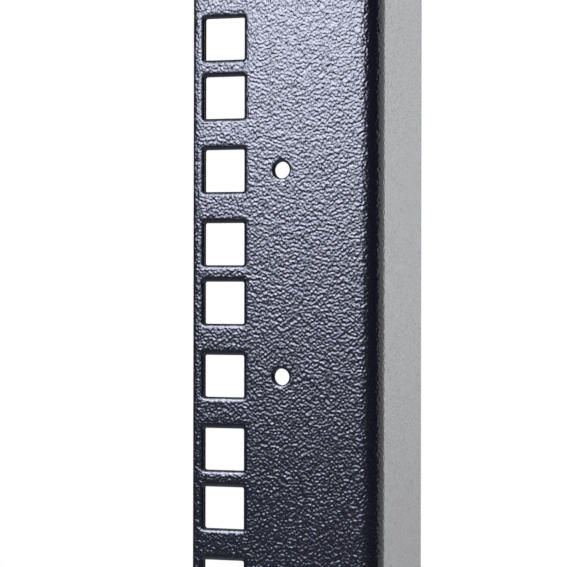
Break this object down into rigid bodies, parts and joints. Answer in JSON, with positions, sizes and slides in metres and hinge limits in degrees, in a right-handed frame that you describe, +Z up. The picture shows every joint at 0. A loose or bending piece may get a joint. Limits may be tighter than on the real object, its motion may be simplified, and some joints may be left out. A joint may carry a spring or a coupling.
{
  "type": "server rack upright",
  "caption": "Folded steel mounting upright of a server rack: flat front face with a column of square mounting holes and small round holes, and one side flange.",
  "frame": {"origin": "on the lower end, in the plane of the front face, on the centre line of the square holes", "axes": "+Z up the upright; -Y the way the front face looks; +X towards the side flange's outer face"},
  "size_m": [0.042, 0.04, 0.2667],
  "materials": {
    "powder_coated_steel": "near-black textured powder coat on folded sheet steel, with a fine leathery grain"
  },
  "bodies": {
    "root": {"upright": "powder_coated_steel"}
  },
  "joints": []
}
